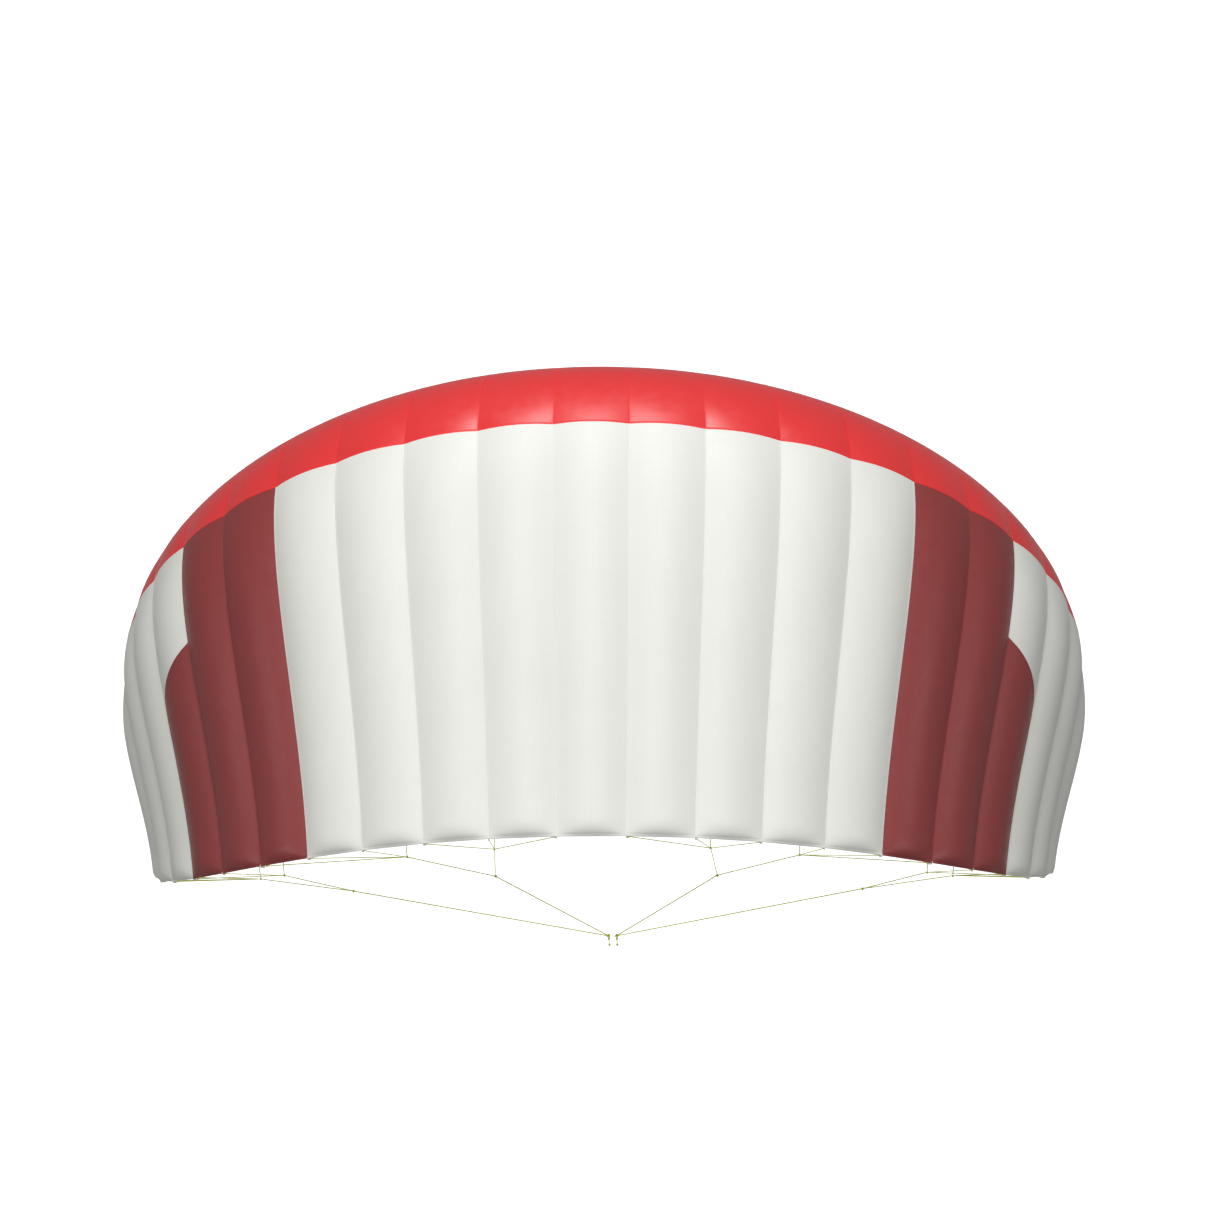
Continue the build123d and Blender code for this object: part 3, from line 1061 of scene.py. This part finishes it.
def add_lines(side, sign, cords):
    """Each long line is a cord of its own. Rows a and b and the middle lines are one piece a row."""
    knot_gap, sleeve_gap = 0.004, 0.006
    tow = Vector((abs(centre_of(f"{side}_tow_knot").x), 0, 0))
    grouped = {"a": [], "b": [], "mid": []}
    for number, (ribs, fork, trailing, front) in enumerate(CLUSTERS, start=1):
        for index in ribs:
            for row, node in (("a", front), ("b", front)):
                grouped[row].append(straight(node, tab_end(index, row), sign, knot_gap, sleeve_gap))
            points = straight(trailing, tab_end(index, "c"), sign, knot_gap, sleeve_gap)
            add_free_line(f"{side}_rear_line_{index}", side, points, UPPER_LINE, cords["line"],
                          f"{side}_bridle_row_c")
        points = straight(trailing, front, sign, knot_gap, knot_gap)
        add_free_line(f"{side}_front_line_{number}", side, points, FRONT_LINE, cords["line"],
                      f"{side}_bridle_front_lines")
        grouped["mid"].append(straight(fork, trailing, sign, knot_gap, knot_gap))
    for number, fork in enumerate((INNER_FORK, OUTER_FORK), start=1):
        points = straight(tow, fork, sign, knot_gap, knot_gap)
        add_free_line(f"{side}_main_line_{number}", side, points, MAIN_LINE, cords["line"],
                      f"{side}_bridle_main_lines")
    for key, diameter, node in (("a", UPPER_LINE, "bridle_row_a"), ("b", UPPER_LINE, "bridle_row_b"),
                                ("mid", MID_LINE, "bridle_mid_lines")):
        piece = line_curve(f"{side}_{node}_lines", grouped[key], diameter, cords["line"])
        settle(piece, RIBS, side, sign, "bridle_line", f"{side}_{node}")


def add_fittings(side, sign, cords):
    """Tabs, patches, sewn line ends and the knots at the junctions."""
    tabs, patches, ends, knots = (bmesh.new() for _ in range(4))
    for index in range(1, RIBS + 1):
        _, _, trailing, front = cluster_of(index)
        for row, node in (("a", front), ("b", front), ("c", trailing)):
            add_tab(tabs, index, row, sign)
            add_line_end(ends, index, row, sign, node)
            if row != "c":
                add_patch(patches, index, row, sign)
    for _, fork, trailing, front in CLUSTERS:
        add_knot(knots, sided(trailing, sign), sided(trailing - fork, sign), 0.0028, 0.0010)
        add_knot(knots, sided(front, sign), sided(front - trailing, sign), 0.0028, 0.0010)
    for fork in (INNER_FORK, OUTER_FORK):
        add_knot(knots, sided(fork, sign), sided(fork, sign), 0.0034, 0.0012)
    piece = make_piece(f"{side}_tabs", tabs, [cords["webbing"]])
    settle(piece, RIBS, side, sign, "tab_webbing", f"{side}_line_tabs")
    piece = make_piece(f"{side}_patches", patches, [cords["patch"]])
    settle(piece, RIBS, side, sign, "lower_cloth")
    piece = make_piece(f"{side}_line_sleeves", ends, [cords["line"]])
    settle(piece, RIBS, side, sign, "bridle_line")
    piece = make_piece(f"{side}_junction_knots", knots, [cords["line"]])
    settle(piece, RIBS, side, sign, "bridle_line", f"{side}_bridle_knots")


def centre_of(node):
    low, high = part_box(node)
    return (low + high) / 2


def place_on(piece, body, node):
    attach(piece, body)
    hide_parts(node)
    return piece


def add_tow_end(side, cords):
    """The knot where two main lines meet, the soft loop under it, and the pigtail with its stopper."""
    tow = centre_of(f"{side}_tow_knot")
    down = Vector((0, 0, -1))
    bm = bmesh.new()
    add_knot(bm, tow, down, 0.0048, 0.0012)
    piece = make_piece(f"{side}_tow_point_knot", bm, [cords["tow"]])
    place_on(piece, f"{side}_wing", f"{side}_tow_knot")
    route = [(-LOOP_HALF_WIDTH / 3, 0), (-LOOP_HALF_WIDTH, LOOP_TOP), (-LOOP_HALF_WIDTH, LOOP_BOTTOM),
             (LOOP_HALF_WIDTH, LOOP_BOTTOM), (LOOP_HALF_WIDTH, LOOP_TOP), (LOOP_HALF_WIDTH / 3, 0)]
    loop = line_curve(f"{side}_soft_loop", [[(tow.x, y, z) for y, z in route]], LOOP_LINE, cords["tow"])
    loop.data.resolution_u = 12
    place_on(loop, f"{side}_tow_loop", f"{side}_tow_loop")
    bm = bmesh.new()
    bottom = Vector((tow.x, 0, LOOP_BOTTOM))
    for y in (-0.00125, 0.00125):
        turn = ring_points(bottom + Vector((0, y, -0.0003)), Vector((1, 0, 0)), down, 0.0022, 0.0024)
        add_tube(bm, turn, [0.0012] * len(turn), closed=True, sides=8)
    bight = [bottom + Vector((0, y, 0.0026)) for y in spread(-0.0016, 0.0016, 5)]
    add_tube(bm, bight, [0.0009, 0.0012, 0.0013, 0.0012, 0.0009], sides=8)
    hitch = make_piece(f"{side}_hitch", bm, [cords["tow"]])
    place_on(hitch, f"{side}_pigtail", f"{side}_larks_head")
    bm = bmesh.new()
    stop = centre_of(f"{side}_stopper_knot")
    add_knot(bm, stop, down, 0.0030, 0.0012)
    knot = make_piece(f"{side}_stopper", bm, [cords["tow"]])
    place_on(knot, f"{side}_pigtail", f"{side}_stopper_knot")
    low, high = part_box(f"{side}_pigtail_line")
    top = Vector((tow.x, 0, high.z + 0.0010))
    tail = Vector((tow.x, 0, low.z - 0.0020))
    points = [top, (top + tail) / 2, tail]
    pigtail = line_curve(f"{side}_pigtail_cord", [points], PIGTAIL_LINE, cords["tow"])
    place_on(pigtail, f"{side}_pigtail", f"{side}_pigtail_line")


def main():
    add_camera()
    cords = {
        "line": braid("bridle_line", OLIVE, 420),
        "tow": braid("tow_line", OLIVE, 300),
        "webbing": webbing("tab_webbing", WEBBING),
        "patch": ripstop("patch_cloth", LOWER),
    }
    for side, sign in SIDES:
        add_lines(side, sign, cords)
        add_tow_end(side, cords)
        add_fittings(side, sign, cords)
    cloths = {
        "white": ripstop("white_cloth", WHITE),
        "dark": ripstop("dark_red_cloth", DARK_RED, 0.42, 0.06, 0.6),
        "red": ripstop("red_cloth", RED, 0.34, 0.08, 1.0),
        "lower": ripstop("lower_cloth", LOWER),
        "rib": ripstop("rib_cloth", RIB_WHITE),
        "white_seam": stitched("white_seam", WHITE),
        "dark_seam": stitched("dark_red_seam", DARK_RED),
        "red_seam": stitched("red_seam", RED),
    }
    for side, sign in SIDES:
        for cell in range(RIBS):
            add_cell_cloth(cell, side, sign, cloths)
        add_hem(side, sign, cloths)
        add_seams(side, sign, cloths)
        for index in range(1, RIBS):
            add_rib(index, side, sign, cloths)
        add_tip(side, sign, cloths)
    add_floor()
    add_studio()


main()
